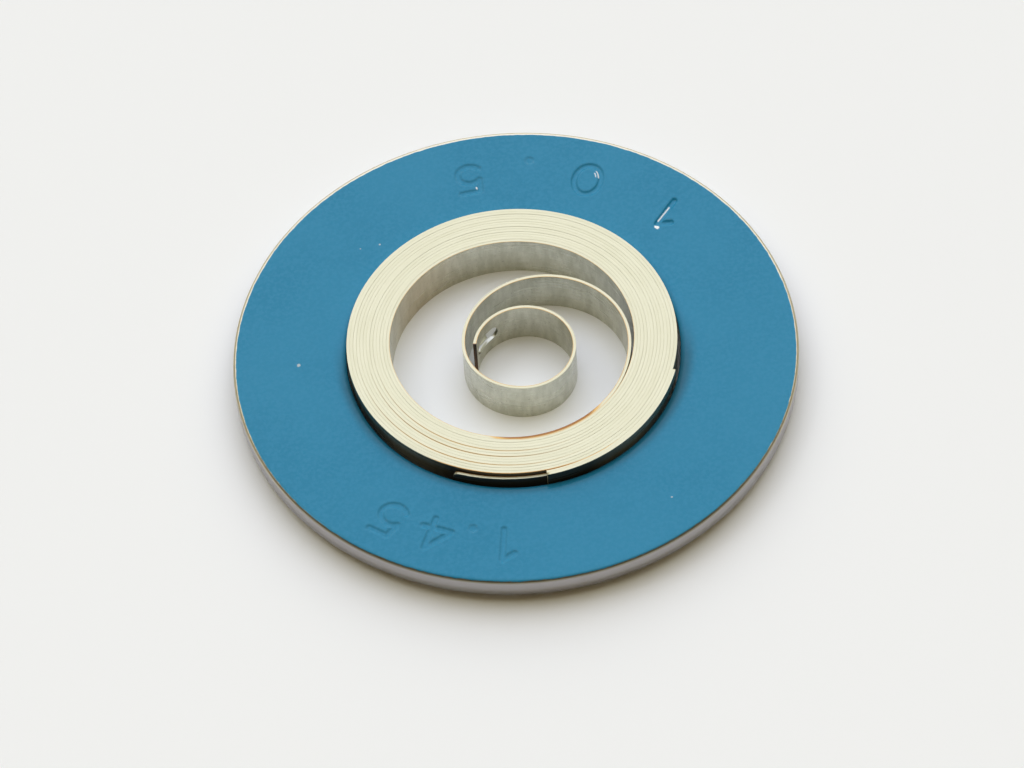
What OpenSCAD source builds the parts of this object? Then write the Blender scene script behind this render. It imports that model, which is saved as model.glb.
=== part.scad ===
// Watch mainspring held wound in a flat retaining washer.
// Frame: millimetres, Z up, Z = 0 is the plane of the lower strip edges,
// the washer axis is the Z axis and the outer end of the strip lies in front, towards -Y.

/* [Washer] */
// Outer diameter of the flat washer
washer_od = 17.4; // [15:0.1:21]
// Diameter of the hole that holds the wound spring
washer_bore = 10.5; // [9:0.1:12.6]
// Thickness of the washer sheet
washer_t = 0.7; // [0.5:0.05:1]
// Radius rolled on the upper edges where the punch goes in
edge_roll = 0.12; // [0.06:0.01:0.2]
// Bevel on the lower edges
edge_bevel = 0.05; // [0.02:0.01:0.1]

/* [Strip] */
// Height of the strip, measured along the axis
strip_h = 1.45; // [1.2:0.05:1.8]
// Thickness of the strip
strip_t = 0.09; // [0.07:0.005:0.11]
// Space left between one turn and the next
turn_gap = 0.012; // [0.012:0.002:0.03]
// Turns that lie packed against the hole
turns = 13; // [10:1:15]
// How far the wound coil sits to the left of the washer axis
coil_shift = 0.06; // [0:0.01:0.08]

/* [Outer end] */
// Part of the turn that the narrow tip runs on past the front
tip_past = 22; // [12:1:32]
// Direction, counted from the front, where the full strip height and the brace begin
brace_start = 8; // [4:1:16]
// How far each edge of the tip stands back from the strip edge
tip_step = 0.14; // [0.05:0.01:0.25]
// Radius on the corners of the tip
tip_corner = 0.2; // [0.1:0.05:0.4]
// How much larger the radius of the tip is than that of the last turn
tip_flare = 0.4; // [0.1:0.05:0.6]
// Thickness of the brace welded outside the last turn
brace_t = 0.09; // [0.06:0.005:0.12]
// Part of the turn that the brace covers
brace_sweep = 63.5; // [40:0.5:90]
// Space between the brace and the hole of the washer
bore_clearance = 0.01; // [0.01:0.005:0.1]

/* [Inner end] */
// Inside radius of the eye that grips the arbor
eye_radius = 1.485; // [1.2:0.005:1.75]
// Part of the last quarter turn that the strip still covers
end_sweep = 82.5; // [70:0.5:88]
// Length of the slot for the arbor hook
slot_length = 1.1; // [0.8:0.05:1.4]
// Height of the slot
slot_h = 0.5; // [0.35:0.05:0.65]
// Metal left between the slot and the inner end
slot_from_end = 0.25; // [0.15:0.05:0.5]

/* [Hidden] */
$fn = 48;
washer_z = (strip_h - washer_t) / 2;
pitch = strip_t + turn_gap;
outer_r = washer_bore / 2 - bore_clearance - brace_t - strip_t / 2;
pack_r = outer_r - turns * pitch;
eye_r = eye_radius + strip_t / 2;
coil_centre = [-coil_shift, 0];
// Quarter turns from the pack to the eye, as shares of the way from the eye radius to the pack radius
free_shares = [0.903, 0.476, 0.422, 0.12, 0.027, 0, 0];
free_r = [for (f = free_shares) round(1000 * (eye_r + f * (pack_r - eye_r))) / 1000];
arcs = concat(
  [for (k = [0 : 2 * turns - 1]) [outer_r - k * pitch / 2, 180]],
  [for (k = [0 : len(free_r) - 1]) [free_r[k], k == len(free_r) - 1 ? end_sweep : 90]]
);

function dir(a) = [cos(a), sin(a)];

// Every arc starts where the one before it ends, and in the same direction
function chain(i, c, a) = i == len(arcs) ? [] : let (
  r = arcs[i][0],
  s = arcs[i][1],
  step = i == 0 ? 0 : arcs[i - 1][0] - r,
  m = c + step * dir(a)
) concat([[m, r, a, s]], chain(i + 1, m, a + s));

path = chain(0, coil_centre, -90);
last = path[len(path) - 1];

// A piece of strip bent to radius r, from direction a through sweep s
module strip_arc(c, r, a, s, t, z, h) {
  translate([c[0], c[1], z])
    rotate([0, 0, a])
      rotate_extrude(angle = s)
        translate([r - t / 2, 0])
          square([t, h]);
}

// Metal taken off the corners at the end of the tip
module tip_corners() {
  b = strip_h / 2 - tip_step;
  r = outer_r + tip_flare;
  translate([coil_centre[0], coil_centre[1] + tip_flare, strip_h / 2])
    rotate([0, 0, -90 - tip_past])
      translate([r - 2 * strip_t, 0, 0])
        rotate([90, 0, 90])
          linear_extrude(4 * strip_t)
            for (side = [-1, 1])
              difference() {
                translate([-tip_corner, side * b - tip_corner])
                  square(2 * tip_corner);
                translate([tip_corner, side * (b - tip_corner)])
                  circle(tip_corner);
              }
}

// Narrow end of the strip, bent a little flatter than the turns
module tip() {
  h = strip_h - 2 * tip_step;
  strip_arc(coil_centre, outer_r, 0, -90, strip_t, tip_step, h);
  difference() {
    strip_arc(coil_centre + [0, tip_flare], outer_r + tip_flare, -90, -tip_past, strip_t, tip_step, h);
    tip_corners();
  }
}

// Slot for the arbor hook, cut square to the curve of the eye
module hook_slot() {
  c = last[0];
  r = last[1];
  turn_per_mm = 180 / (PI * r);
  a_far = last[2] + last[3] - (slot_from_end + slot_h / 2) * turn_per_mm;
  a_near = a_far - (slot_length - slot_h) * turn_per_mm;
  translate([c[0], c[1], strip_h / 2]) {
    rotate([0, 0, a_near])
      rotate_extrude(angle = a_far - a_near)
        translate([r - strip_t, -slot_h / 2])
          square([2 * strip_t, slot_h]);
    for (a = [a_near, a_far])
      rotate([0, 0, a])
        translate([r - strip_t, 0, 0])
          rotate([0, 90, 0])
            cylinder(d = slot_h, h = 2 * strip_t);
  }
}

// Punched sheet ring: rolled upper edges, bevelled lower edges
module retaining_washer() {
  ri = washer_bore / 2;
  ro = washer_od / 2;
  color([0.25, 0.52, 0.65])
    translate([0, 0, washer_z])
      rotate_extrude(angle = 360) {
        polygon([
          [ri, edge_bevel],
          [ri + edge_bevel, 0],
          [ro - edge_bevel, 0],
          [ro, edge_bevel],
          [ro, washer_t - edge_roll],
          [ri, washer_t - edge_roll]
        ]);
        translate([ri + edge_roll, washer_t - edge_roll])
          square([ro - ri - 2 * edge_roll, edge_roll]);
        translate([ri + edge_roll, washer_t - edge_roll])
          circle(edge_roll);
        translate([ro - edge_roll, washer_t - edge_roll])
          circle(edge_roll);
      }
}

// The whole strip: narrow tip, packed turns, free turn and slotted eye
module mainspring_strip() {
  color([0.88, 0.87, 0.78])
    difference() {
      union() {
        tip();
        strip_arc(coil_centre, outer_r, 90, brace_start - 180, strip_t, 0, strip_h);
        for (i = [1 : len(path) - 1])
          strip_arc(path[i][0], path[i][1], path[i][2], path[i][3], strip_t, 0, strip_h);
      }
      hook_slot();
    }
}

// Short piece of strip lying on the outside of the last turn
module end_brace() {
  r = outer_r + (strip_t + brace_t) / 2;
  color([0.80, 0.80, 0.73])
    strip_arc(coil_centre, r, brace_start - 90, brace_sweep, brace_t, 0, strip_h);
}

retaining_washer();
mainspring_strip();
end_brace();
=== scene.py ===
# %% [markdown]
# A watch mainspring as it is sold: a flat steel strip, wound tight and held in the hole of a
# blue lacquered washer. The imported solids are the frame. Each piece below is worked out again
# as a fine surface in the same place, so that rolled edges, stamped digits and the small gaps
# between the turns can be shown. All sizes are written in millimetres and turned into metres
# once, when a mesh is made. Directions are in degrees, counter-clockwise from the right.

# %% Load the frame
import math
import bpy
import numpy as np
from mathutils import Matrix, Vector


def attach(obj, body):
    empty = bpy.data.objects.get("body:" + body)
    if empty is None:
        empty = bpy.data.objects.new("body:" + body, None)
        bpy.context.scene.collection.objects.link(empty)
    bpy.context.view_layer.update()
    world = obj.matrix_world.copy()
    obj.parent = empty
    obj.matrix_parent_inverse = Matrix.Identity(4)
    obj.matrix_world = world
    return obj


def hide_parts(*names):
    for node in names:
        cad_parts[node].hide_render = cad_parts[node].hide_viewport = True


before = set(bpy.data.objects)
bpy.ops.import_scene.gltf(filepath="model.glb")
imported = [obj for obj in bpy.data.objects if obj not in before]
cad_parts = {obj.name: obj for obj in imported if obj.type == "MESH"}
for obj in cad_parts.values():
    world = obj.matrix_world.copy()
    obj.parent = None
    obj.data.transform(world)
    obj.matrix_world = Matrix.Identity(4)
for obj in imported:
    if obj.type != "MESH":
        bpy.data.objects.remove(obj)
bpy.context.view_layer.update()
MM = 0.001
bpy.context.scene.view_settings.view_transform = "Standard"
print("nodes:", sorted(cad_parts))

# %% [markdown]
# The strip follows a chain of arcs, and each arc starts where the one before it ends and in the
# same direction. A hand-drawn spiral curve would do for a picture, but arcs keep the strip where
# the solid is. The list runs from the outer tip inwards, counter-clockwise seen from above: the
# flat tip, half turns that shrink by half a pitch, then quarter turns down to the eye.

# %% Arcs of the strip
STRIP_H, PITCH, OUTER_R = 1.45, 0.102, 5.105
COIL_CENTRE = np.array([-0.06, 0.0])
FRONT = -90.0
# the tip's radius is larger by the flare, and it runs on past the front
TIP_FLARE, TIP_PAST = 0.4, 22.0
PACK_TURNS = 13
PACK_ARCS = 2 * PACK_TURNS
FREE_R = [3.561, 2.601, 2.479, 1.800, 1.591, 1.530, 1.530]
END_SWEEP = 82.5


def toward(degrees):
    """Unit step in a direction of the washer's plane, or one row for each of many directions."""
    angle = np.radians(degrees)
    return np.stack([np.cos(angle), np.sin(angle)], -1)


def strip_arcs():
    """Rows of centre x, centre y, radius, start direction and sweep in degrees: the centre moves
    along the joint's direction by the change of radius, so that the strip has no kink."""
    radii = [OUTER_R - k * PITCH / 2 for k in range(PACK_ARCS)] + FREE_R
    sweeps = [180.0] * PACK_ARCS + [90.0] * (len(FREE_R) - 1) + [END_SWEEP]
    tip_centre = COIL_CENTRE + [0.0, TIP_FLARE]
    rows = [(*tip_centre, OUTER_R + TIP_FLARE, FRONT - TIP_PAST, TIP_PAST)]
    centre, angle, before = COIL_CENTRE, FRONT, OUTER_R
    for radius, sweep in zip(radii, sweeps):
        centre = centre + (before - radius) * toward(angle)
        rows.append((*centre, radius, angle, sweep))
        angle, before = angle + sweep, radius
    return np.array(rows)


ARCS = strip_arcs()
ARC_START = np.concatenate([[0.0], np.cumsum(ARCS[:, 4])])
ARC_LENGTH = np.concatenate([[0.0], np.cumsum(ARCS[:, 2] * np.radians(ARCS[:, 4]))])
print("arcs:", len(ARCS), "strip length mm:", round(ARC_LENGTH[-1], 1))

# %% [markdown]
# In the real coil the turns lie a little unevenly: at the front three gaps stand open, and at the
# right the pack is pressed in. Turns could be pulled out of place by hand. Here each is moved by a
# small shift that comes and goes smoothly with the direction, so that it gets no kink.

# %% Uneven turns
# after which turn a gap stands open, and by how much
OPEN_GAPS = [(3, 0.010), (6, 0.008), (8, 0.007)]
PRESSED_IN = 0.12


def window(direction, middle, reach):
    """1 at the middle direction and 0 from the reach away, in degrees: the square of a cosine."""
    off = (direction - middle + 180.0) % 360.0 - 180.0
    return np.where(np.abs(off) < reach, np.cos(np.radians(off / reach * 90.0)) ** 2, 0.0)


def front_left(direction):
    """Where the open gaps lie: 1 in the middle, falling to 0 at either side."""
    return window(direction, 245.0, 70.0)


def pressed_in(direction):
    """How far the pack stands further in, in mm, at the right."""
    return PRESSED_IN * window(direction, 350.0, 75.0)


print("open gaps:", len(OPEN_GAPS), "pressed in at the right mm:", pressed_in(0.0).round(3))

# %% [markdown]
# A point of the strip is found from one number, the angle turned since the tip. From it come the
# place on its arc, the direction square to the strip, the length run so far and the turn's number.
# All points are worked out at once, as whole arrays, because a loop over thousands of points is slow.

# %% Points along the strip
# how far turns stray from their circles, and the angle turned before which none does
STRAY, STRAY_FROM = 0.0012, 400.0
# angle turned where the narrow tip ends
NARROW_END = 30.0


def along_strip(turned):
    """For an array of angles turned since the tip: centre line, outward direction, length, direction
    in degrees and turn number. A point is its arc's centre plus radius times the outward direction,
    and turns stray from their radius by the product of two slow sine waves."""
    i = np.clip(np.searchsorted(ARC_START, turned, side="right") - 1, 0, len(ARCS) - 1)
    into = turned - ARC_START[i]
    direction = ARCS[i, 3] + into
    out = toward(direction)
    turn = np.floor((turned - TIP_PAST - 180.0) / 360.0) + 1
    shift = STRAY * np.sin(np.radians(0.93 * turned)) * np.sin(np.radians(0.31 * turned + 40.0))
    shift -= sum(depth * front_left(direction) * (turn > after) for after, depth in OPEN_GAPS)
    shift *= turned > STRAY_FROM
    shift -= pressed_in(direction) * (turned < ARC_START[PACK_ARCS + 1])
    line = ARCS[i, :2] + out * (ARCS[i, 2] + shift)[:, None]
    length = ARC_LENGTH[i] + ARCS[i, 2] * np.radians(into)
    return line, out, length, direction % 360.0, turn


# a section every few degrees, closer over the tip's corners, at its step and at the inner end
TURNED = np.unique(np.concatenate([
    np.arange(0.0, ARC_START[-1], 2.5), np.linspace(0.0, 2.4, 13),
    NARROW_END + np.array([-0.02, 0.02]), ARC_START[-1] - np.array([1.6, 0.8, 0.0]),
]))
print("sections along the strip:", len(TURNED))

# %% [markdown]
# The strip is rolled steel with rounded long edges. Its section is a tall thin rectangle with four
# round corners. Two extra points on each wall keep the smooth shading of the corners from creeping
# over the tall flat walls. A bevel modifier with hardened normals would be another way.

# %% Section of the strip
CORNER, SHADED_BAND = 0.0035, 0.02
# one number for each face round the section: 1 on the edges, 0 on the walls
EDGE_FACES = np.array([1, 1, 1, 1, 1, 0, 0, 0, 1, 1, 1, 1, 1, 1, 1, 0, 0, 0])


def section(thick):
    """Eighteen points round the section: offset from the centre line, which edge the height is
    counted from (0 lower, 1 upper) and how far. Corners are quarter circles of three points, two
    more points lie on each wall and two on the upper edge."""
    h, c, d = thick / 2, CORNER, CORNER * (1 - math.sqrt(0.5))
    b = CORNER + SHADED_BAND
    offset = [-h, -h + d, -h + c, h - c, h - d, h, h, h]
    inset = [c, d, 0, 0, d, c, b, b]
    edge = [0, 0, 0, 0, 0, 0, 0, 1]
    offset += [h, h - d, h - c, h / 3, -h / 3, -h + c, -h + d, -h, -h, -h]
    inset += [c, d, 0, 0, 0, 0, d, c, b, b]
    edge += [1, 1, 1, 1, 1, 1, 1, 1, 1, 0]
    return np.array(offset), np.array(edge), np.array(inset)


print("points round a section:", len(EDGE_FACES))

# %% [markdown]
# The section is carried along the path, as a rolling mill would push it out. A curve with a bevel
# profile could do nearly the same, but here the section's lower and upper height have to change along
# the path as well. The UV map holds the length run and the height in mm, as on the unrolled strip.

# %% Carry a section along a path
def add_piece(name, points, faces, smooth):
    """A new object of the scene from points in mm and, for each face, a list of point numbers."""
    mesh = bpy.data.meshes.new(name)
    mesh.from_pydata((points * MM).tolist(), [], faces)
    mesh.polygons.foreach_set("use_smooth", np.full(len(faces), smooth))
    piece = bpy.data.objects.new(name, mesh)
    bpy.context.scene.collection.objects.link(piece)
    return piece


def carry(name, line, out, low, high, length, thick):
    """Closed surface: every section point is the path's point plus its offset along the outward
    direction, at the lower height plus its inset or the upper height minus it."""
    offset, edge, inset = section(thick)
    n, m = len(line), len(offset)
    xy = line[:, None, :] + out[:, None, :] * offset[None, :, None]
    z = np.where(edge == 0, low[:, None] + inset, high[:, None] - inset)
    points = np.concatenate([xy, z[..., None]], 2).reshape(-1, 3)
    i, j = np.meshgrid(np.arange(n - 1), np.arange(m), indexing="ij")
    k = (j + 1) % m
    quads = np.stack([i * m + j, (i + 1) * m + j, (i + 1) * m + k, i * m + k], -1).reshape(-1, 4)
    caps = [list(range(m)), list(range((n - 1) * m, n * m))[::-1]]
    piece = add_piece(name, points, quads.tolist() + caps, True)
    mesh = piece.data
    slots = np.concatenate([np.tile(EDGE_FACES, n - 1), [1, 1]])
    mesh.polygons.foreach_set("material_index", slots)
    corner = np.empty(len(mesh.loops), np.int32)
    mesh.loops.foreach_get("vertex_index", corner)
    uv = np.stack([np.repeat(length, m), points[:, 2]], 1)[corner]
    mesh.uv_layers.new(name="length_and_height").data.foreach_set("uv", uv.ravel())
    print(name, "quads:", len(quads))
    return piece


# %% [markdown]
# The strip itself. Its outer end is narrow for the first thirty degrees and has round corners: the
# height that a corner takes away is the radius minus a circle's height at that distance. The upper
# edges of the turns are not quite level. The strip is shown a little thicker than its solid, because
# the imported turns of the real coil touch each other.

# %% Wound strip
SHOWN_T = 0.1008
TIP_STEP, TIP_CORNER = 0.14, 0.2
UNEVEN = 0.004
line, out, length, direction, turn = along_strip(TURNED)
from_end = np.clip(TIP_CORNER - length, 0.0, TIP_CORNER)
narrow = np.where(TURNED < NARROW_END, TIP_STEP, 0.0)
narrow = narrow + TIP_CORNER - np.sqrt(TIP_CORNER ** 2 - from_end ** 2)
wave = np.sin(np.radians(TURNED * 0.71)) * np.cos(np.radians(TURNED * 0.127 + 60.0))
upper = STRIP_H - narrow - UNEVEN * (1.0 + wave)
strip = carry("mainspring_strip_wound", line, out, narrow, upper, length, SHOWN_T)

# %% [markdown]
# Golden, brown and black tones are laid on the steel in places. The brown and black behind the tip
# and on the cut end, and the black in the wedge and beside the hole, are painted shade. It could be
# painted on by hand. Here two numbers at each point, from 0 for clean steel to 1, say how much golden
# to black tone and how much black painted shade lie there. They are kept as attributes of the mesh,
# and the steel's materials read them.

# %% Layers on the steel
# numbers of the section's points
OUTER_WALL, INNER_WALL = [5, 6, 7], [16, 17, 0]
OUTER_SIDE, INNER_SIDE = [8, 9, 10], [13, 14, 15]
UPPER_EDGE, INNER_HALF = [8, 9, 10, 11, 12, 13, 14, 15], [11, 12, 13, 14, 15]
oil = np.zeros((len(TURNED), len(EDGE_FACES)))
grime = np.zeros_like(oil)


def between(direction, low, high, fade):
    """1 between two directions, falling to 0 over the fade at either side."""
    return np.clip(np.minimum(direction - low, high - direction) / fade + 1.0, 0.0, 1.0)


def smear(layer, points, amount, where):
    """Adds an amount to these points of the section where the condition holds along the strip."""
    layer[:, points] += (amount * where)[:, None]


def keep(piece, **layers):
    """Stores each layer under its name as an attribute of the piece's points."""
    for name, values in layers.items():
        kept = piece.data.attributes.new(name, "FLOAT", "POINT")
        kept.data.foreach_set("value", np.clip(values, 0.0, 1.0).ravel().astype(np.float32))


print("points that can be smeared:", oil.size)

# %% [markdown]
# Golden lines lie along the gaps that stand open at the front, and brown to black painted shade lies
# behind the tip, a little further on and on the cut at the inner end. Golden to brown tones lie on the
# innermost turns. Black painted shade lies on the outer wall beside the hole, and in the narrow wedge
# where the free turn leaves the pack. Each line below is one such place, with its amount.

# %% Golden tints and painted shade
# from which direction to which, and over how many degrees it fades
BEHIND_TIP, BEFORE_BRACE = (246.0, 279.0, 12.0), (284.0, 300.0, 8.0)
LEAVES_PACK, WEDGE = (264.0, 307.0, 9.0), (270.0, 312.0, 8.0)
BESIDE_HOLE = (246.0, 292.0, 40.0)
for after, _ in OPEN_GAPS:
    smear(oil, INNER_SIDE, 0.22 * front_left(direction), turn == after)
    smear(oil, OUTER_SIDE, 0.22 * front_left(direction), turn == after + 1)
# painted shade behind the tip, and a little further on
smear(oil, INNER_SIDE, between(direction, *BEHIND_TIP), turn == 0)
smear(oil, OUTER_SIDE, 0.6 * between(direction, *BEHIND_TIP), turn == 1)
smear(oil, INNER_SIDE, 0.4 * between(direction, *BEFORE_BRACE), turn == 0)
# from the innermost packed turn on, thinly over the free turn, thickly where this leaves the pack
smear(oil, INNER_SIDE, 0.2, TURNED > ARC_START[PACK_ARCS - 1])
smear(oil, UPPER_EDGE, 0.04, TURNED > ARC_START[PACK_ARCS + 1])
smear(oil, INNER_WALL, 0.10 * window(direction, 140.0, 50.0), turn == PACK_TURNS)
smear(oil, INNER_HALF, 0.52 * between(direction, *LEAVES_PACK), turn == PACK_TURNS)
# painted shade on the cut at the inner end
smear(oil, slice(None), 0.85, TURNED > ARC_START[-1] - 1.0)
# black painted shade in the wedge where the free turn leaves the pack, and beside the hole
smear(grime, OUTER_WALL, 0.8 * between(direction, *WEDGE), turn == PACK_TURNS)
smear(grime, INNER_WALL, 0.8 * between(direction, *WEDGE), turn == PACK_TURNS - 1)
smear(grime, OUTER_WALL, between(direction, *BESIDE_HOLE), turn <= 1)
keep(strip, oil=oil, grime=grime)
print("points with oil and with grime:", int((oil > 0.05).sum()), int((grime > 0.05).sum()))

# %% [markdown]
# Beside its inner end the eye has a slot with round ends, which the hook of the winding arbor
# enters. The slot's outline is a stadium on the unrolled strip. Rolled on two radii, one inside
# and one outside the wall, it makes a closed cutter that follows the eye's curve.

# %% Cutter for the slot
SLOT_L, SLOT_H, SLOT_END = 1.1, 0.5, 0.25
CUT_REACH = 0.12
EYE_X, EYE_Y, EYE_R, EYE_FROM, EYE_SWEEP = ARCS[-1]


def slot_cutter(points=48):
    """Rings of a stadium: the outline's point is a half circle's point, moved along the strip by half
    the straight length. Along the strip it is rolled on the eye: angle is length over radius."""
    a = np.linspace(0.0, 2 * math.pi, points, endpoint=False)
    run = SLOT_H / 2 * np.cos(a) + np.sign(np.cos(a)) * (SLOT_L - SLOT_H) / 2
    height = STRIP_H / 2 + SLOT_H / 2 * np.sin(a)
    middle = math.radians(EYE_FROM + EYE_SWEEP) - (SLOT_END + SLOT_L / 2) / EYE_R
    roll = middle + run / EYE_R
    rings = [np.stack([EYE_X + r * np.cos(roll), EYE_Y + r * np.sin(roll), height], 1)
             for r in (EYE_R - CUT_REACH, EYE_R + CUT_REACH)]
    j = np.arange(points)
    k = (j + 1) % points
    sides = np.stack([j, k, k + points, j + points], 1).tolist()
    caps = [j[::-1].tolist(), (j + points).tolist()]
    return add_piece("slot_cutter", np.concatenate(rings), sides + caps, False)


cutter = slot_cutter()
print("eye radius mm:", EYE_R, "faces of the cutter:", len(cutter.data.polygons))

# %% [markdown]
# A maker punches the slot before the strip is wound. Here a Boolean modifier cuts it from the wound
# strip and is applied, because only the plain mesh is kept. Edges steeper than 60 degrees are then
# marked sharp, so that the slot's rim isn't shaded as if it were round.

# %% Slot for the arbor hook
SHARP_FROM = 60.0
cut = strip.modifiers.new("hook_slot", "BOOLEAN")
cut.operation, cut.solver, cut.object = "DIFFERENCE", "EXACT", cutter
bpy.context.view_layer.update()
faces_before = len(strip.data.polygons)
worked_out = strip.evaluated_get(bpy.context.evaluated_depsgraph_get())
strip_cut = bpy.data.meshes.new_from_object(worked_out)
strip.modifiers.clear()
strip.data = strip_cut
strip.data.set_sharp_from_angle(angle=math.radians(SHARP_FROM))
bpy.data.objects.remove(cutter)
print("strip faces before and after the slot:", faces_before, len(strip.data.polygons))

# %% [markdown]
# The brace is a short piece of the same strip, laid on the outside of the last turn. It is carried
# along an arc about the coil's centre, from eight degrees past the front, and follows the pack
# where this is pressed in.

# %% Brace
BRACE_FROM, BRACE_SWEEP, BRACE_STEP = 278.0, 63.5, 1.5
# its two faces, counted from the middle of the last turn, and how far its upper edge stands back
BRACE_IN, BRACE_OUT, BRACE_LOWER = 0.0495, 0.135, 0.002
turned = np.unique(np.concatenate([np.arange(0.0, BRACE_SWEEP, BRACE_STEP), [BRACE_SWEEP]]))
brace_out = toward(BRACE_FROM + turned)
brace_r = OUTER_R + (BRACE_IN + BRACE_OUT) / 2
brace_line = COIL_CENTRE + brace_out * (brace_r - pressed_in(BRACE_FROM + turned))[:, None]
ground = np.zeros(len(turned))
brace = carry("end_brace_strip", brace_line, brace_out, ground, ground + STRIP_H - BRACE_LOWER,
              np.radians(turned) * brace_r, BRACE_OUT - BRACE_IN)
# black painted shade on the brace's outer wall beside the hole
brace_grime = np.zeros((len(turned), len(EDGE_FACES)))
smear(brace_grime, OUTER_WALL, between(BRACE_FROM + turned, *BESIDE_HOLE), True)
keep(brace, oil=np.zeros_like(brace_grime), grime=brace_grime)

# %% [markdown]
# Digits are struck into the washer's upper face with single punches, a little unevenly, and read
# from the far side. Each digit is a few strokes in a square of its own, drawn as short straight
# pieces, so that no font is needed. Glints of light on the digits are painted into the coat as white
# marks, and these painted glints are written down as strokes as well.

# %% Strokes of the stamped digits
def arc_points(x, y, rx, ry, start, end, count):
    """Points on part of an ellipse, between two directions in degrees."""
    return np.array([x, y]) + toward(np.linspace(start, end, count)) * [rx, ry]


DIGITS = {
    "1": [np.array([[0.18, 0.76], [0.5, 1.0], [0.5, 0.0]])],
    "0": [arc_points(0.5, 0.5, 0.36, 0.5, 0, 360, 25)],
    ".": [arc_points(0.5, 0.08, 0.05, 0.05, 0, 360, 9)],
    "5": [np.concatenate([[[0.84, 1.0], [0.28, 1.0], [0.22, 0.56]],
                          arc_points(0.47, 0.33, 0.36, 0.33, 125, -145, 14)])],
    "4": [np.array([[0.68, 0.0], [0.68, 1.0], [0.12, 0.3], [0.94, 0.3]])],
}
# digit, radius of its middle, direction, height, up towards the axis (-1) or the rim (+1), lean, depth
STAMPS = [
    ("1", 7.02, 44.0, 1.08, -1, 11.0, 0.060), ("0", 6.98, 67.3, 1.18, -1, 4.0, 0.048),
    (".", 6.99, 83.1, 1.15, -1, 0.0, 0.028), ("5", 6.89, 98.7, 1.08, -1, 0.0, 0.036),
    ("1", 7.36, 263.8, 1.10, 1, 0.0, 0.036), (".", 7.32, 256.1, 1.10, 1, 0.0, 0.028),
    ("4", 7.32, 247.9, 1.10, 1, 0.0, 0.036), ("5", 7.35, 236.0, 1.10, 1, 0.0, 0.036),
]
# number of the stamp, painted glint's stroke in its square and the stroke's half width in mm
PAINTED_GLINTS = [
    (0, np.array([[0.54, 0.88], [0.52, 0.28]]), 0.018),
    (0, np.array([[0.42, 1.13], [0.46, 1.12]]), 0.060),
    (1, arc_points(0.5, 0.5, 0.28, 0.41, 200, 236, 5), 0.016),
    (1, arc_points(0.5, 0.5, 0.21, 0.33, 206, 232, 5), 0.012),
    (3, np.array([[0.37, 0.86], [0.37, 0.90]]), 0.022),
]
print("stamps:", len(STAMPS), "bright strokes:", len(PAINTED_GLINTS))

# %% [markdown]
# A digit's square is set on the washer by its middle, its height and its own right and up
# directions. To sink the face along a stroke, the distance from each point of the face to the
# nearest piece is needed. It comes from one large array, with points as rows and pieces as columns.

# %% Distance to a stroke
def placed(stroke, radius, direction, height, way, lean):
    """A stroke's points in the washer's plane: the digit's middle, plus its own right and up
    directions times the distances from the middle of its square."""
    up = way * toward(direction + lean)
    right = np.array([up[1], -up[0]])
    off = (stroke - 0.5) * height
    return radius * toward(direction) + off[:, :1] * right + off[:, 1:] * up


def straight_pieces(points, number):
    """Rows of two neighbouring points and a number that belongs to the stroke."""
    return np.concatenate([points[:-1], points[1:], np.full((len(points) - 1, 1), number)], 1)


def stroke_distance(x, y, pieces):
    """Least distance from each point to the straight pieces, and the nearest piece's number: the
    point's foot on a piece is limited to the piece's ends."""
    p = np.stack([x.ravel(), y.ravel()], 1)[:, None, :]
    a, b = pieces[None, :, :2], pieces[None, :, 2:4]
    t = np.clip(((p - a) * (b - a)).sum(2) / np.maximum(((b - a) ** 2).sum(2), 1e-12), 0, 1)
    away = np.sqrt(((p - a - t[..., None] * (b - a)) ** 2).sum(2))
    return away.min(1).reshape(x.shape), pieces[away.argmin(1), 4].reshape(x.shape)


STROKES = np.concatenate([straight_pieces(placed(stroke, *stamp[1:6]), stamp[6])
                          for stamp in STAMPS for stroke in DIGITS[stamp[0]]])
# pieces of the painted glints, with their half widths
GLINT_PIECES = np.concatenate([straight_pieces(placed(stroke, *STAMPS[i][1:6]), half)
                                for i, stroke, half in PAINTED_GLINTS])
print("straight pieces in the digits:", len(STROKES), "bright:", len(GLINT_PIECES))

# %% [markdown]
# The washer is punched from sheet: the punch rolls the upper edges round and leaves a small bevel
# below. Its section, turned about the axis, gives the whole ring, as the Screw modifier would. At
# the right and left the coat has run over the hole's edge, as a bead that nearly meets the coil.

# %% Section of the washer
BORE_R, RIM_R, SHEET_LOW, SHEET_TOP, ROLL, BEVEL = 5.25, 8.694, 0.375, 1.068, 0.12, 0.05
ROLL_POINTS = 8
# radii between which digits stand, a radius on the underside and a height on the cut walls
DIGITS_FROM, DIGITS_TO, UNDERSIDE_R, WALL_Z = 6.2, 8.10, 7.0, 0.70
# the upper face starts after the hole's two points and the rolled edge
FACE_START = 2 + ROLL_POINTS


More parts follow.
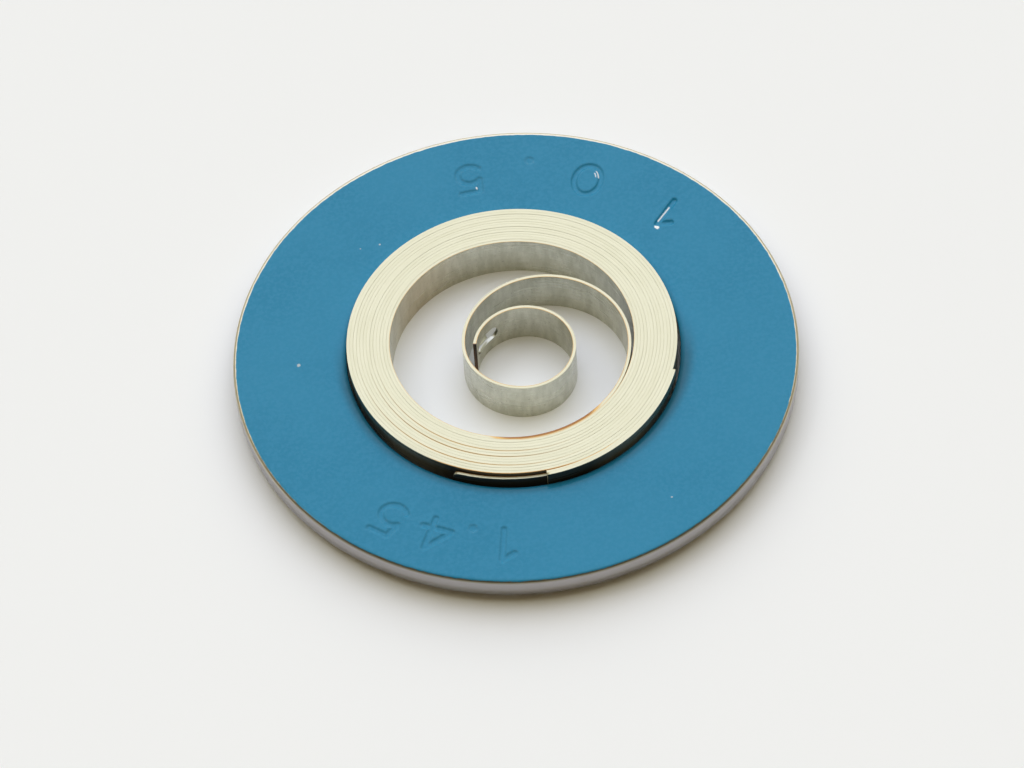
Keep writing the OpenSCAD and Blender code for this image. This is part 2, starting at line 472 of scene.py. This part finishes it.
def washer_section():
    """Closed outline of the ring's section as radius and height: up the hole, over the rolled edge,
    across the upper face, down the rim and back below."""
    quarter = np.radians(np.linspace(0.0, 90.0, ROLL_POINTS))
    face_r = np.concatenate([np.linspace(BORE_R + ROLL, DIGITS_FROM, 10)[1:],
                             np.linspace(DIGITS_FROM, DIGITS_TO, 76)[1:],
                             np.linspace(DIGITS_TO, RIM_R - ROLL, 8)[1:-1]])
    r = np.concatenate([[BORE_R, BORE_R], BORE_R + ROLL - ROLL * np.cos(quarter), face_r,
                        RIM_R - ROLL + ROLL * np.sin(quarter),
                        [RIM_R, RIM_R, RIM_R - BEVEL, UNDERSIDE_R, BORE_R + BEVEL]])
    z = np.concatenate([[SHEET_LOW + BEVEL, WALL_Z], SHEET_TOP - ROLL + ROLL * np.sin(quarter),
                        np.full(len(face_r), SHEET_TOP), SHEET_TOP - ROLL + ROLL * np.cos(quarter),
                        [WALL_Z, SHEET_LOW + BEVEL, SHEET_LOW, SHEET_LOW, SHEET_LOW]])
    return r, z, slice(FACE_START, FACE_START + len(face_r))


def bead_width(direction):
    """How far the coat reaches into the hole, in mm: straight ramps between a few directions."""
    return np.interp(direction, [15, 60, 95, 130, 150, 200, 230, 290, 320, 342, 352],
                     [0.18, 0.09, 0, 0, 0.05, 0.05, 0, 0, 0.09, 0.14, 0.18], period=360.0)


SECTION_R, SECTION_Z, FACE = washer_section()
print("points round the washer's section:", len(SECTION_R))

# %% [markdown]
# The ring's grid is fine only where digits stand, so that it stays light elsewhere. The height of
# the upper face is the sheet's top minus the stamp's depth, which falls off smoothly with the
# distance to a stroke, and a low lip of pushed-up metal runs round it. A displacement picture would
# do the same, but it would have to be painted first.

# %% Washer
# from which direction to which, and how many columns of points
SPANS = [(36.0, 106.0, 380), (106.0, 230.0, 90), (230.0, 270.0, 220), (270.0, 396.0, 90)]
# where the face starts to sink beside a stroke, and over what width
STROKE_HALF, STROKE_SLOPE = 0.125, 0.085
# the lip's height as a share of the depth, its distance from the stroke and its width
LIP, LIP_AT, LIP_WIDTH = 0.06, 0.16, 0.05
# width over which a painted glint fades at its side
GLINT_FADE = 0.024


def washer_surface(name):
    """The section turned about the axis: x is radius times cosine, y radius times sine. The columns
    lie close together over the digits and wide apart elsewhere."""
    a = np.concatenate([np.linspace(lo, hi, count, endpoint=False) for lo, hi, count in SPANS])
    share = np.clip(1.0 - (SECTION_R - BORE_R) / ROLL, 0.0, 1.0) * (SECTION_Z > WALL_Z)
    ring = SECTION_R - bead_width(a)[:, None] * share
    x, y = np.moveaxis(toward(a)[:, None, :] * ring[..., None], 2, 0)
    height = np.tile(SECTION_Z, (len(a), 1))
    d, depth = stroke_distance(x[:, FACE], y[:, FACE], STROKES)
    fall = np.clip((STROKE_HALF - d) / STROKE_SLOPE, 0.0, 1.0)
    lip = LIP * np.exp(-((d - LIP_AT) / LIP_WIDTH) ** 2)
    height[:, FACE] += depth * (lip - fall * fall * (3 - 2 * fall))
    # where the white painted glints lie, standing for glints of light on the digits
    d, half = stroke_distance(x[:, FACE], y[:, FACE], GLINT_PIECES)
    bright = np.zeros(x.shape)
    bright[:, FACE] = np.clip((half - d) / GLINT_FADE + 0.5, 0.0, 1.0)
    n, m = x.shape
    i, j = np.meshgrid(np.arange(n), np.arange(m), indexing="ij")
    i2, j2 = (i + 1) % n, (j + 1) % m
    quads = np.stack([i * m + j, i * m + j2, i2 * m + j2, i2 * m + j], -1).reshape(-1, 4)
    piece = add_piece(name, np.stack([x, y, height], 2).reshape(-1, 3), quads.tolist(), True)
    keep(piece, bright=bright)
    print(name, "quads:", len(quads))
    return piece


washer = washer_surface("retaining_washer_punched")

# %% [markdown]
# Every finish is a small tree of nodes. These helpers make a material, add a node with the values
# of its sockets, and link what was worked out to the surface shader. The same tree could be drawn by
# hand in the shader editor.

# %% Helpers for materials
def finish_of(name):
    """A new material, its node tree and its surface shader."""
    material = bpy.data.materials.new(name)
    material.use_nodes = True
    return material, material.node_tree, material.node_tree.nodes["Principled BSDF"]


def add(tree, kind, settings=(), **sockets):
    """A node of this kind: settings are its properties, sockets its inputs by name or, as i0 and i1,
    by number. A value is set and another node's output is linked."""
    node = tree.nodes.new(kind)
    for key, value in dict(settings).items():
        setattr(node, key, value)
    for key, value in sockets.items():
        socket = node.inputs[int(key[1:]) if key[1:].isdigit() else key]
        if isinstance(value, bpy.types.NodeSocket):
            tree.links.new(value, socket)
        else:
            socket.default_value = value
    return node


def plug(tree, shader, **sources):
    """Links each source to the shader's socket of that name, where _ stands for a space."""
    for key, source in sources.items():
        tree.links.new(source, shader.inputs[key.replace("_", " ")])


print("materials before the finishes:", len(bpy.data.materials))

# %% [markdown]
# A finish reads the place on the piece, a number kept at its points, or smooth random values, and
# turns these into shares and colours. With a function for each step, a finish is short enough to be
# read from top to bottom.

# %% Helpers for tones
def millimetres(tree):
    """Object coordinates, brought back from metres to mm."""
    place = add(tree, "ShaderNodeTexCoord").outputs["Object"]
    node = add(tree, "ShaderNodeVectorMath", {"operation": "SCALE"}, Vector=place, Scale=1 / MM)
    return node.outputs["Vector"]


def layer_of(tree, name):
    """One of the numbers that are kept at the piece's points."""
    return add(tree, "ShaderNodeAttribute", {"attribute_name": name}).outputs["Fac"]


def noise(tree, place, scale, detail, roughness=0.5):
    """Smooth random values about one half."""
    return add(tree, "ShaderNodeTexNoise", Vector=place, Scale=scale, Detail=detail,
               Roughness=roughness).outputs["Fac"]


def worked(tree, operation, *values):
    """A number worked out from others by one operation."""
    numbered = {f"i{n}": value for n, value in enumerate(values)}
    return add(tree, "ShaderNodeMath", {"operation": operation}, **numbered).outputs["Value"]


def blend(tree, share, first, second):
    """Colour mix: first where the share is 0, second where it is 1."""
    node = add(tree, "ShaderNodeMix", {"data_type": "RGBA"}, i0=share, i6=first, i7=second)
    return node.outputs[2]


def ramp(tree, value, low, high, to_low=0.0, to_high=1.0):
    """Value between two limits, mapped to two others with a smooth step."""
    node = add(tree, "ShaderNodeMapRange", {"interpolation_type": "SMOOTHSTEP"},
               Value=value, i1=low, i2=high, i3=to_low, i4=to_high)
    return node.outputs["Result"]


# %% [markdown]
# The washer's face has a thin coat of blue lacquer. At the back of the rim the coat ends before the
# rolled edge, in front it runs over it, and the cut steel below is bare and dull. In the hole the
# coat goes down a little way, and deeper down the hole's wall is painted black as shade. Every limit
# is a smooth step of the radius or the height, so no picture is needed, and a little noise frays the
# coat's edge.

# %% Limits of the lacquer
# width of the frayed edge, and how much further out the coat ends for each mm to the front
FRAY, FURTHER = 0.05, 0.0064
# radii where the coat ends at the rim, and where the hole's edge is left
COAT_END, HOLE_EDGE = (8.61, 8.64), (5.32, 5.36)
# heights between which the rim turns bare, and the hole's wall is painted black as shade
RIM_BARE, HOLE_SHADE_Z = (0.93, 0.88), (0.82, 0.66)
lacquer, tree, shader = finish_of("blue_lacquer_on_steel")
place = millimetres(tree)
xyz = add(tree, "ShaderNodeSeparateXYZ", Vector=place).outputs
flat = add(tree, "ShaderNodeCombineXYZ", X=xyz["X"], Y=xyz["Y"], Z=0.0).outputs["Vector"]
radius = add(tree, "ShaderNodeVectorMath", {"operation": "LENGTH"}, Vector=flat).outputs["Value"]
frayed = worked(tree, "MULTIPLY_ADD", noise(tree, place, 4.0, 5.0), FRAY, radius)
further = worked(tree, "MULTIPLY_ADD", xyz["Y"], FURTHER, frayed)
below_bare = worked(tree, "MULTIPLY", ramp(tree, xyz["Z"], *RIM_BARE), ramp(tree, radius, *HOLE_EDGE))
bare = worked(tree, "MAXIMUM", ramp(tree, further, *COAT_END), below_bare)
in_hole = ramp(tree, frayed, *HOLE_EDGE[::-1])
# the hole's wall below the coat painted black: painted shade
hole_painted_shade = worked(tree, "MULTIPLY", in_hole, ramp(tree, xyz["Z"], *HOLE_SHADE_Z))
print("finish:", lacquer.name, "nodes so far:", len(tree.nodes))

# %% [markdown]
# The blue is slightly uneven, and a few specks of dust lie on it. In front the blue beside the hole
# is darkened by a painted shadow of the coil, and white painted glints lie on the digits. The tones
# are laid over each other in this order, each with its own share, as glazes of paint would be.

# %% Tones of the lacquer
DEEP_BLUE, MID_BLUE = (0.010, 0.195, 0.335, 1), (0.016, 0.213, 0.360, 1)
PALE_BLUE, DUST_GREY = (0.024, 0.230, 0.386, 1), (0.45, 0.52, 0.52, 1)
# dark blue of the painted shadow beside the hole, and white of the painted glints
SHADOW_BLUE, GLINT_WHITE = (0.008, 0.070, 0.100, 1), (0.93, 0.94, 0.93, 1)
# radii between which the painted shadow grows, with its share at both, and the stretch of y where it
# sets in
SHADOW_RADII, SHADOW_FRONT = (5.68, 5.27, 0.0, 0.7), (1.0, -1.5)
# specks of dust: place on the face and half width, in mm
DUST = [(-6.67, -0.12, 0.09), (-4.01, 4.42, 0.06), (-4.62, 4.30, 0.04), (4.30, -6.05, 0.05)]
cloud, grain = noise(tree, place, 0.35, 2.0), noise(tree, place, 9.0, 3.0)
blue = blend(tree, ramp(tree, cloud, 0.3, 0.7), DEEP_BLUE, MID_BLUE)
blue = blend(tree, ramp(tree, grain, 0.35, 0.68, 0.0, 0.7), blue, PALE_BLUE)
for x, y, size in DUST:
    away = add(tree, "ShaderNodeVectorMath", {"operation": "DISTANCE"}, i0=flat, i1=(x, y, 0.0))
    ragged = worked(tree, "MULTIPLY_ADD", grain, size, away.outputs["Value"])
    blue = blend(tree, ramp(tree, ragged, 1.3 * size, 0.7 * size), blue, DUST_GREY)
# painted shadow of the coil on the blue in front of the hole
near_hole = ramp(tree, frayed, *SHADOW_RADII)
painted_shadow = worked(tree, "MULTIPLY", near_hole, ramp(tree, xyz["Y"], *SHADOW_FRONT))
blue = blend(tree, painted_shadow, blue, SHADOW_BLUE)
# white painted glints on the digits
blue = blend(tree, layer_of(tree, "bright"), blue, GLINT_WHITE)
print("specks of dust:", len(DUST), "nodes so far:", len(tree.nodes))

# %% [markdown]
# Under the coat is steel. At the rolled edge it is warm and grainy, painted darker and browner in
# front as shade, and greyer on the cut wall below. The coat has an orange-peel skin, which a weak
# bump gives, and it mirrors more sharply than the steel.

# %% Bare steel and gloss of the washer
STEEL_DULL, STEEL_LIGHT = (0.46, 0.42, 0.32, 1), (0.62, 0.57, 0.41, 1)
STEEL_FRONT_SHADE, STEEL_GREY = (0.27, 0.25, 0.18, 1), (0.44, 0.425, 0.435, 1)
# black of the painted shade in the hole
HOLE_SHADE_BLACK = (0.016, 0.017, 0.018, 1)
# where the steel is painted darker and browner towards the front as shade, and grey below the rolled
# edge
FRONT_SHADE_Y, GREY_Z = (-3.0, -7.5), (1.0, 0.92)
STEEL_ROUGHER, COAT_SPECULAR = 0.22, 0.2
steel = blend(tree, grain, STEEL_DULL, STEEL_LIGHT)
# painted shade: the steel darker and browner towards the front
steel = blend(tree, ramp(tree, xyz["Y"], *FRONT_SHADE_Y), steel, STEEL_FRONT_SHADE)
steel = blend(tree, ramp(tree, xyz["Z"], *GREY_Z), steel, STEEL_GREY)
coat = blend(tree, hole_painted_shade, blend(tree, bare, blue, steel), HOLE_SHADE_BLACK)
coat_gloss = ramp(tree, grain, 0.2, 0.8, 0.10, 0.16)
gloss = worked(tree, "MULTIPLY_ADD", bare, STEEL_ROUGHER, coat_gloss)
peel = noise(tree, place, 4.0, 2.0)
skin = add(tree, "ShaderNodeBump", Height=peel, Strength=0.05, Distance=0.00003).outputs["Normal"]
plug(tree, shader, Base_Color=coat, Metallic=bare, Roughness=gloss, Normal=skin)
shader.inputs["Specular IOR Level"].default_value = COAT_SPECULAR
washer.data.materials.append(lacquer)
print("finish:", lacquer.name, "nodes:", len(tree.nodes))

# %% [markdown]
# The strip's walls are rolled bright, with fine lines along the strip, rubbed marks that run up and
# down, and small dark specks. The pattern follows the strip, so it reads the UV map, which holds
# length and height in mm. Over the steel a helper lays golden, brown and black tones by the first
# kept number, the dark ones being painted shade. The second number lays painted shade as a dull
# black skin, so where it is thick the surface is no longer metallic.

# %% Rolled steel of the walls
# from which number of tint and shade to which, and the colour that is then reached: gold, brown, black
TINT_AND_SHADE_TONES = [(0.0, 0.3, (0.62, 0.38, 0.12, 1)), (0.3, 0.65, (0.27, 0.10, 0.012, 1)),
             (0.65, 1.0, (0.040, 0.037, 0.035, 1))]
WALL_DARK, WALL_LIGHT = (0.505, 0.505, 0.42, 1), (0.665, 0.665, 0.575, 1)
LINE_TONE, SPECK_TONE = (0.58, 0.57, 0.47, 1), (0.22, 0.21, 0.17, 1)
# black of the painted shade
SHADE_BLACK = (0.040, 0.037, 0.029, 1)


def unrolled(tree, along=1.0, up=1.0):
    """Length along the strip and height on it in mm, each times a number of its own."""
    run = add(tree, "ShaderNodeUVMap", {"uv_map": "length_and_height"}).outputs["UV"]
    return add(tree, "ShaderNodeMapping", Vector=run, Scale=(along, up, 1.0)).outputs["Vector"]


def under_oil(tree, tone):
    """The tone with the kept tints on it: golden where the number is low, then orange brown, then black
    as painted shade.
    """
    thick = layer_of(tree, "oil")
    for low, high, colour in TINT_AND_SHADE_TONES:
        tone = blend(tree, ramp(tree, thick, low, high), tone, colour)
    return tone


wall, tree, shader = finish_of("rolled_steel_wall")
lines = noise(tree, unrolled(tree, 0.25, 14.0), 1.0, 5.0)
marks = noise(tree, unrolled(tree, 3.4, 1.0), 1.0, 6.0, 0.65)
specks = noise(tree, unrolled(tree), 13.0, 2.0)
tone = blend(tree, ramp(tree, marks, 0.33, 0.68), WALL_DARK, WALL_LIGHT)
tone = blend(tree, ramp(tree, lines, 0.35, 0.7, 0.0, 0.25), tone, LINE_TONE)
tone = blend(tree, ramp(tree, specks, 0.62, 0.76, 0.0, 0.55), tone, SPECK_TONE)
# painted shade: a dull black skin, no longer metallic where it is thick
shade_share = layer_of(tree, "grime")
tone = blend(tree, shade_share, under_oil(tree, tone), SHADE_BLACK)
rolled = add(tree, "ShaderNodeBump", Height=lines, Strength=0.15, Distance=0.00001).outputs["Normal"]
plug(tree, shader, Base_Color=tone, Metallic=ramp(tree, shade_share, 0.0, 1.0, 1.0, 0.0),
     Roughness=ramp(tree, lines, 0.2, 0.8, 0.24, 0.36), Normal=rolled)
print("finish:", wall.name, "nodes:", len(tree.nodes))

# %% [markdown]
# The edges are rounded by tumbling. They are paler than the walls and only partly metallic, so that
# only a part of the light is mirrored and they look lit from every side: the pale cream is painted
# sheen of the light they mirror. The golden to black tones brown them beside the open gaps.

# %% Rounded steel edges
# pale cream: painted sheen of the light the edges mirror
EDGE_SHEEN_DARK, EDGE_SHEEN_LIGHT = (0.600, 0.574, 0.386, 1), (0.652, 0.626, 0.442, 1)
EDGE_METALLIC = 0.4
edge, tree, shader = finish_of("strip_edge_painted_sheen")
change = noise(tree, unrolled(tree, 0.6, 2.0), 1.0, 5.0)
sheen = blend(tree, ramp(tree, change, 0.3, 0.7), EDGE_SHEEN_DARK, EDGE_SHEEN_LIGHT)
plug(tree, shader, Base_Color=under_oil(tree, sheen), Roughness=ramp(tree, change, 0.2, 0.8, 0.34, 0.44))
shader.inputs["Metallic"].default_value = EDGE_METALLIC
for piece in (strip, brace):
    piece.data.materials.append(wall)
    piece.data.materials.append(edge)
print("finish:", edge.name, "nodes:", len(tree.nodes))

# %% [markdown]
# The pieces ride on the part's one body and stand for its solids, which are hidden.

# %% Join the pieces to the frame
for piece, node, finish in ((washer, "retaining_washer", "washer"), (strip, "mainspring_strip", "strip"),
                            (brace, "end_brace", "brace")):
    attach(piece, "root")
    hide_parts(node)
    print(piece.name, "stands for", node)

# %% [markdown]
# The part lies on a plain pale sheet, which is large enough to fill the picture from every side.
# It belongs to the stage and not to the part.

# %% Floor
FLOOR_HALF = 600.0
PAPER_WHITE, PAPER_ROUGH = (0.875, 0.885, 0.872, 1), 0.9
corners = np.array([[-1, -1, 0], [1, -1, 0], [1, 1, 0], [-1, 1, 0]]) * FLOOR_HALF
floor = add_piece("pale_floor", corners, [[0, 1, 2, 3]], False)
paper, tree, shader = finish_of("pale_paper")
shader.inputs["Base Color"].default_value = PAPER_WHITE
shader.inputs["Roughness"].default_value = PAPER_ROUGH
floor.data.materials.append(paper)
print("floor:", floor.name)

# %% [markdown]
# The light is a broad soft sky as in a light tent: even and white above and behind, where the upper
# edges mirror it towards the camera, darker and warmer low in front. The sky's tone follows the
# angle to one direction, and its blue falls off sooner than its red, so that shadows in front turn
# brown. A small lamp from the left adds sharp glints.

# %% Sky and lamp
SKY_MIDDLE = (0.0, 0.530, 0.848)
# for each colour: two cosines of the angle to the sky's middle, and the light at these
SKY_RED, SKY_GREEN = (0.38, 0.89, 0.12, 1.844), (0.41, 0.90, 0.078, 1.945)
SKY_BLUE = (0.48, 0.95, 0.015, 2.335)
# metres and watts
LAMP_PLACE, LAMP_SIZE, LAMP_POWER = (-0.165, 0.03, 0.25), 0.016, 0.02
world = bpy.data.worlds.new("pale_sky")
bpy.context.scene.world = world
world.use_nodes = True
tree = world.node_tree
seen = add(tree, "ShaderNodeTexCoord").outputs["Generated"]
facing = add(tree, "ShaderNodeVectorMath", {"operation": "DOT_PRODUCT"}, i0=seen, i1=SKY_MIDDLE)
red, green, blue = (ramp(tree, facing.outputs["Value"], *colour)
                    for colour in (SKY_RED, SKY_GREEN, SKY_BLUE))
sky = add(tree, "ShaderNodeCombineColor", Red=red, Green=green, Blue=blue)
tree.links.new(sky.outputs["Color"], tree.nodes["Background"].inputs["Color"])
tree.nodes["Background"].inputs["Strength"].default_value = 1.0

lamp = bpy.data.lights.new("small_lamp", "AREA")
lamp.shape, lamp.size, lamp.energy = "DISK", LAMP_SIZE, LAMP_POWER
spot = bpy.data.objects.new("small_lamp", lamp)
spot.location = LAMP_PLACE
spot.rotation_euler = (-spot.location).to_track_quat("-Z", "Y").to_euler()
bpy.context.scene.collection.objects.link(spot)
print("lamp at", tuple(round(v, 3) for v in spot.location))

# %% [markdown]
# The camera stands in front, 53 degrees up, turned a little about its own axis as in the photograph.
# Its place was found by fitting the outlines of the washer and the coil, with a long lens because
# the photograph shows hardly any perspective.

# %% Camera
ELEVATION, ROLL_DEG, DISTANCE, AIM = 53.106, -4.256, 110.99, (-0.185, -0.635, 0.0)
# the lens in pixels of a picture this wide, and the sensor's width in mm
LENS_PX, PICTURE_PX, SENSOR = 3600.0, 1024, 36.0
NEAREST, FARTHEST = 0.001, 10.0
e, roll = math.radians(ELEVATION), math.radians(ROLL_DEG)
back = Vector((0, -math.cos(e), math.sin(e)))
right, up = Vector((1, 0, 0)), Vector((0, math.sin(e), math.cos(e)))
side = math.cos(roll) * right + math.sin(roll) * up
top = -math.sin(roll) * right + math.cos(roll) * up
stand = (Vector(AIM) + DISTANCE * back) * MM
view = bpy.data.cameras.new("photo_camera")
view.sensor_width, view.lens = SENSOR, LENS_PX / PICTURE_PX * SENSOR
view.clip_start, view.clip_end = NEAREST, FARTHEST
camera = bpy.data.objects.new("photo_camera", view)
camera.matrix_world = Matrix(((side.x, top.x, back.x, stand.x), (side.y, top.y, back.y, stand.y),
                              (side.z, top.z, back.z, stand.z), (0, 0, 0, 1)))
bpy.context.scene.collection.objects.link(camera)
bpy.context.scene.camera = camera
print("lens:", round(view.lens, 2))
